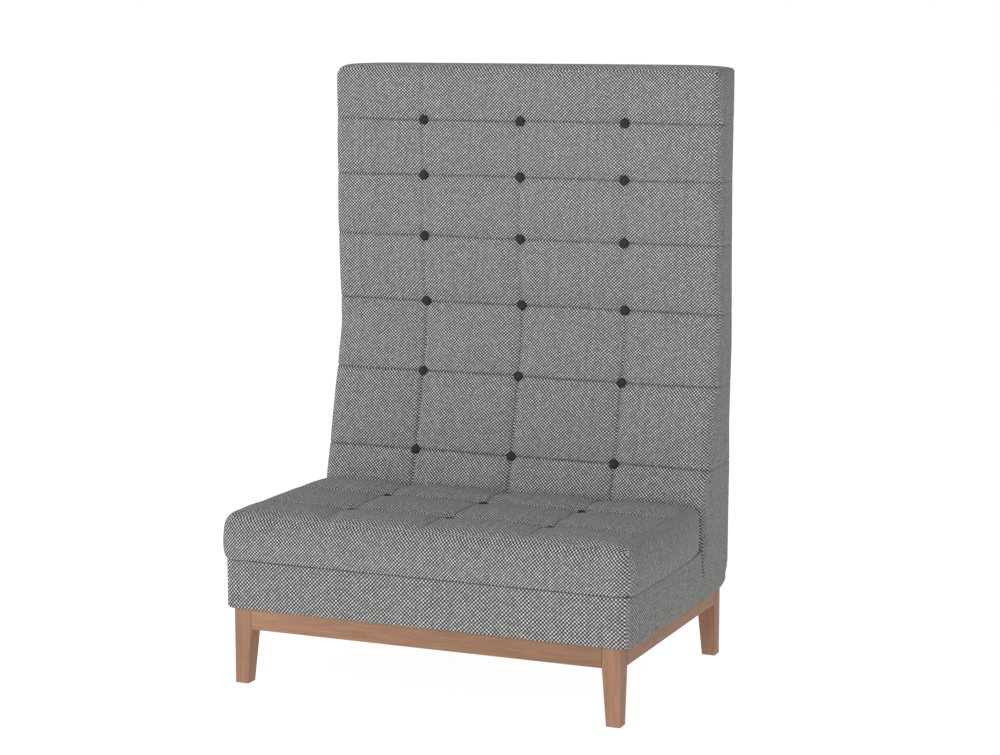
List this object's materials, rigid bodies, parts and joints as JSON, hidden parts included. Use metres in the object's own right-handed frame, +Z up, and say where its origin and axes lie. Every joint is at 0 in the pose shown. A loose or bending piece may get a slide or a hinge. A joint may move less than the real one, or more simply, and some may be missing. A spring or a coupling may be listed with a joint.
{
  "type": "acoustic high back lounge chair",
  "caption": "Armless high back lounge seat: tufted box cushion on an upholstered base, tall channelled and buttoned back leaning at the waist, low timber frame on square tapered legs.",
  "frame": {"origin": "on the floor, under the middle of the chair's overall width and depth", "axes": "+Z up, +Y towards the back, so a seated person faces -Y; +X towards the chair's right side as seen from the front"},
  "size_m": [1.065, 0.7512, 1.4883],
  "materials": {
    "frame_beech": "light brown beech, satin oiled, grain along each piece",
    "pine_timber": "planed softwood, raw",
    "plywood": "birch plywood, raw",
    "grey_weave": "basket weave upholstery cloth in off white and black yarn over foam",
    "charcoal_felt": "charcoal wool felt over a button shell",
    "black_cloth": "black spun-bonded lining cloth",
    "zinc_steel": "bright zinc plated"
  },
  "bodies": {
    "root": {"leg_front_left": "frame_beech", "corner_block_front_left": "pine_timber", "leg_bolt_front_left": "zinc_steel", "leg_front_right": "frame_beech", "corner_block_front_right": "pine_timber", "leg_bolt_front_right": "zinc_steel", "leg_rear_right": "frame_beech", "corner_block_rear_right": "pine_timber", "leg_bolt_rear_right": "zinc_steel", "leg_rear_left": "frame_beech", "corner_block_rear_left": "pine_timber", "leg_bolt_rear_left": "zinc_steel", "rail_front": "frame_beech", "rail_rear": "frame_beech", "rail_left": "frame_beech", "rail_right": "frame_beech", "base_pad": "grey_weave", "base_board_front": "pine_timber", "base_board_left": "pine_timber", "base_board_right": "pine_timber", "base_board_rear": "pine_timber", "base_deck": "plywood", "dust_cover": "black_cloth", "back_bolt_left": "zinc_steel", "back_bolt_right": "zinc_steel", "seat_cushion": "grey_weave", "seat_button_1_1": "charcoal_felt", "seat_button_1_2": "charcoal_felt", "seat_button_1_3": "charcoal_felt", "seat_button_2_1": "charcoal_felt", "seat_button_2_2": "charcoal_felt", "seat_button_2_3": "charcoal_felt", "back_cover": "grey_weave", "back_board_upper": "plywood", "back_board_lower": "plywood", "back_board_rear": "plywood", "back_side_left": "plywood", "back_side_right": "plywood", "back_rail_top": "pine_timber", "back_rail_waist": "pine_timber", "back_rail_foot": "pine_timber", "back_pad": "grey_weave", "back_button_1_1": "charcoal_felt", "back_button_1_2": "charcoal_felt", "back_button_1_3": "charcoal_felt", "back_button_2_1": "charcoal_felt", "back_button_2_2": "charcoal_felt", "back_button_2_3": "charcoal_felt", "back_button_3_1": "charcoal_felt", "back_button_3_2": "charcoal_felt", "back_button_3_3": "charcoal_felt", "back_button_4_1": "charcoal_felt", "back_button_4_2": "charcoal_felt", "back_button_4_3": "charcoal_felt", "back_button_5_1": "charcoal_felt", "back_button_5_2": "charcoal_felt", "back_button_5_3": "charcoal_felt", "back_button_6_1": "charcoal_felt", "back_button_6_2": "charcoal_felt", "back_button_6_3": "charcoal_felt"}
  },
  "joints": []
}
